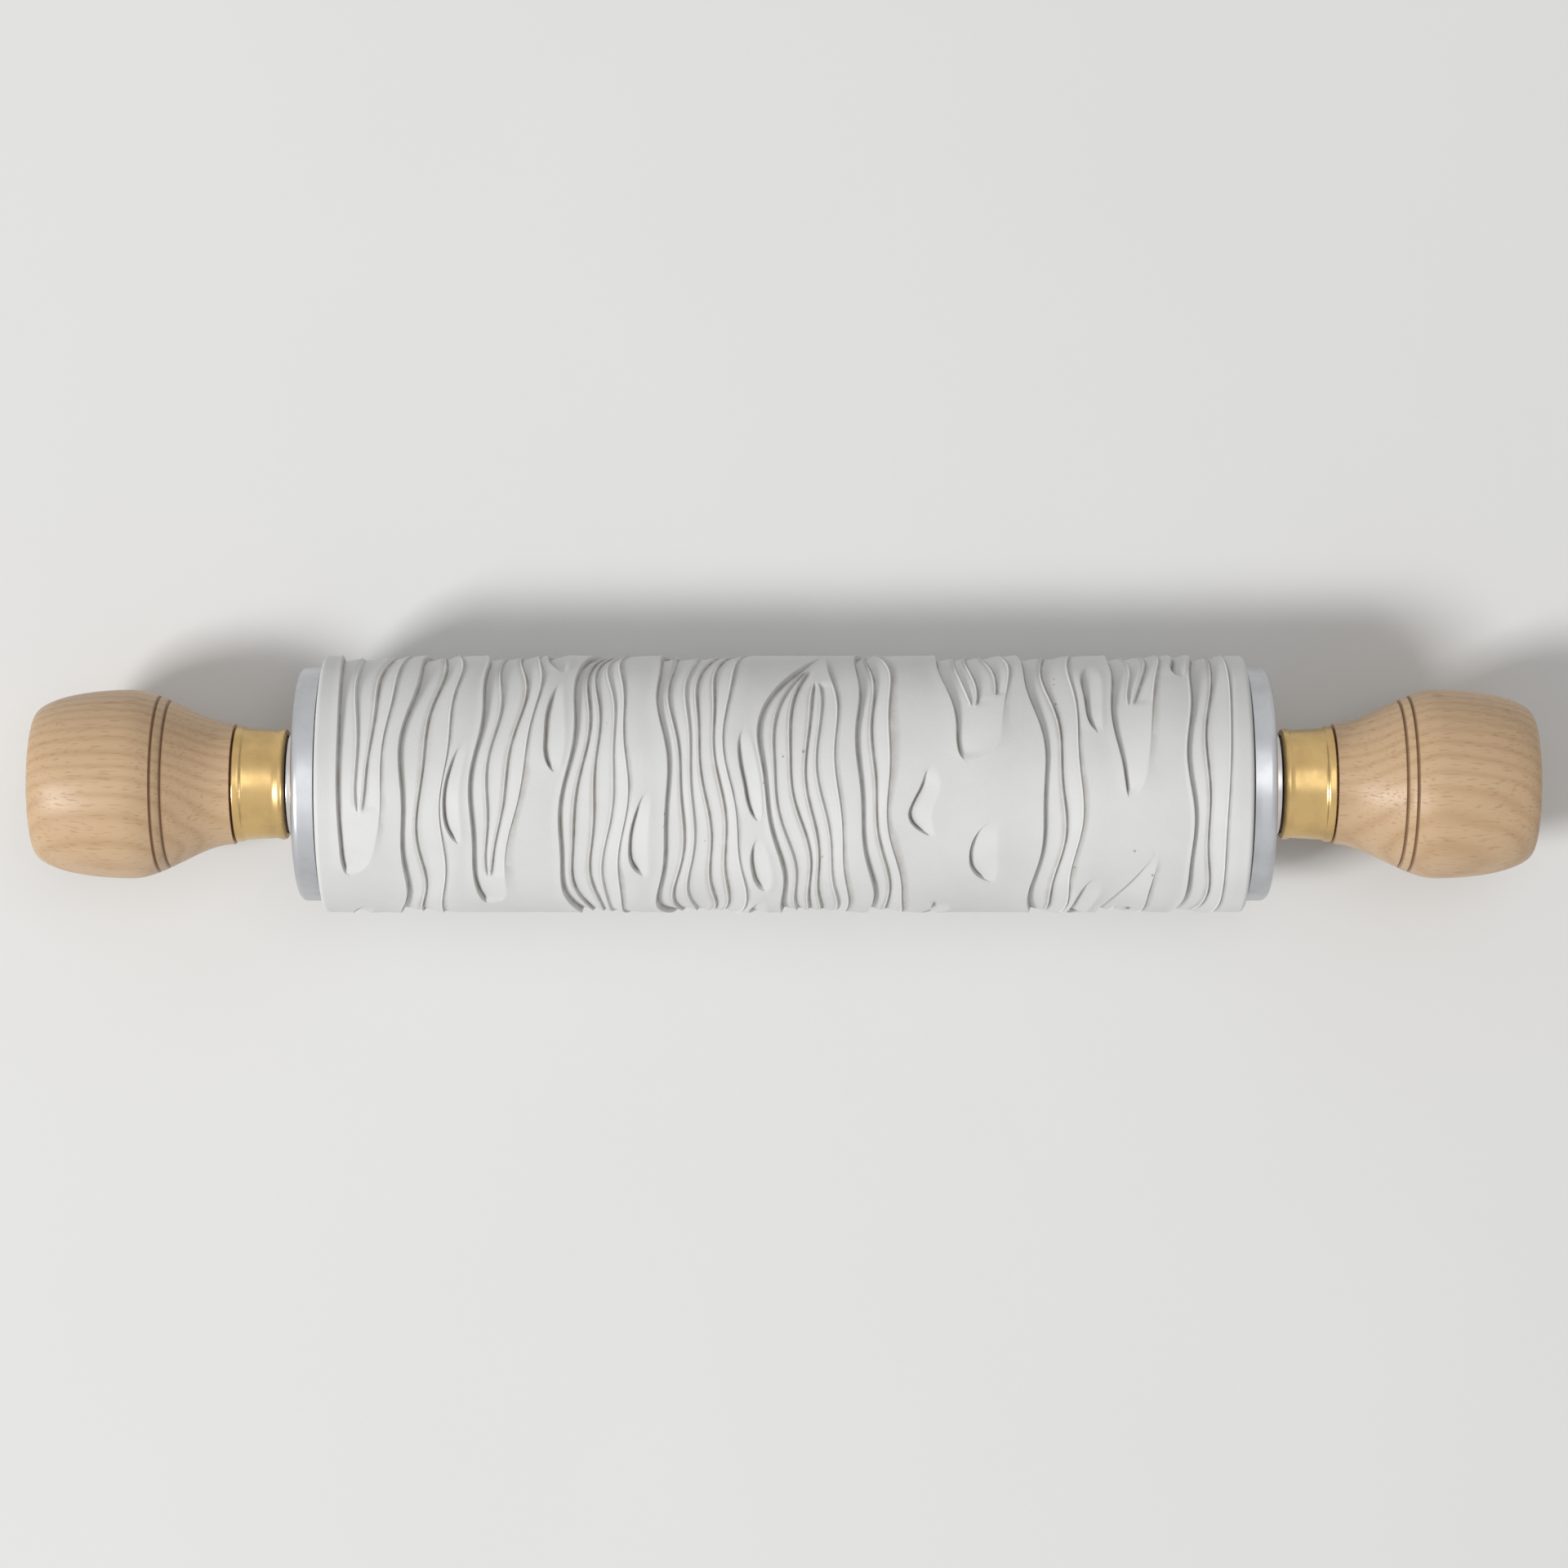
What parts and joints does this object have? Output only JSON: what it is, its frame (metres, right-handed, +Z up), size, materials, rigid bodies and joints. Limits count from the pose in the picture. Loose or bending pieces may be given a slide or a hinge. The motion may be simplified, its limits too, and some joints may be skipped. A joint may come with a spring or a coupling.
{
  "type": "clay texture roller",
  "caption": "Hand roller that presses a bark relief into clay: a moulded sleeve turns on ball bearings round a steel axle with a turned wooden palm knob at each end.",
  "frame": {"origin": "middle of the barrel, on the axle's axis", "axes": "+X along the axle to the right knob, +Z up, +Y away from the user as the roller is pushed"},
  "size_m": [0.2624, 0.0448, 0.0448],
  "materials": {
    "cast_resin": "moulded matt, pale off-white",
    "core_beech": "sanded, unfinished",
    "knob_beech": "turned, oiled satin",
    "stainless": "turned satin",
    "satin_alloy": "faced and anodised satin",
    "brass": "turned satin",
    "nylon": "moulded",
    "seal_rubber": "moulded matt"
  },
  "bodies": {
    "axle_set": {"axle": "stainless", "left_bearing_inner_ring": "stainless", "left_flanged_spacer": "stainless", "left_ferrule": "brass", "left_knob": "knob_beech", "left_sleeve_nut": "brass", "right_bearing_inner_ring": "stainless", "right_flanged_spacer": "stainless", "right_ferrule": "brass", "right_knob": "knob_beech", "right_sleeve_nut": "brass"},
    "barrel": {"relief_sleeve": "cast_resin", "wooden_core": "core_beech", "drive_key": "stainless", "left_end_cap": "satin_alloy", "left_cap_screw_1": "stainless", "left_cap_screw_2": "stainless", "left_cap_screw_3": "stainless", "left_bearing_cup": "nylon", "left_bearing_outer_ring": "stainless", "left_bearing_inboard_seal": "seal_rubber", "left_bearing_outboard_seal": "seal_rubber", "right_end_cap": "satin_alloy", "right_cap_screw_1": "stainless", "right_cap_screw_2": "stainless", "right_cap_screw_3": "stainless", "right_bearing_cup": "nylon", "right_bearing_outer_ring": "stainless", "right_bearing_inboard_seal": "seal_rubber", "right_bearing_outboard_seal": "seal_rubber"},
    "left_ball_set": {"left_bearing_cage": "nylon", "left_bearing_ball_1": "stainless", "left_bearing_ball_2": "stainless", "left_bearing_ball_3": "stainless", "left_bearing_ball_4": "stainless", "left_bearing_ball_5": "stainless", "left_bearing_ball_6": "stainless", "left_bearing_ball_7": "stainless"},
    "right_ball_set": {"right_bearing_cage": "nylon", "right_bearing_ball_1": "stainless", "right_bearing_ball_2": "stainless", "right_bearing_ball_3": "stainless", "right_bearing_ball_4": "stainless", "right_bearing_ball_5": "stainless", "right_bearing_ball_6": "stainless", "right_bearing_ball_7": "stainless"}
  },
  "joints": [
    {"name": "barrel_spin", "type": "hinge", "parent": "axle_set", "child": "barrel", "pos_m": [0, 0, 0], "axis": [1, 0, 0], "continuous": true},
    {"name": "left_ball_orbit", "type": "hinge", "parent": "axle_set", "child": "left_ball_set", "pos_m": [-0.0765, 0, 0], "axis": [1, 0, 0], "continuous": true},
    {"name": "right_ball_orbit", "type": "hinge", "parent": "axle_set", "child": "right_ball_set", "pos_m": [0.0765, 0, 0], "axis": [1, 0, 0], "continuous": true}
  ],
  "couplings": [
    {"joint": "left_ball_orbit", "follows": "barrel_spin", "ratio": 0.6323},
    {"joint": "right_ball_orbit", "follows": "barrel_spin", "ratio": 0.6323}
  ]
}
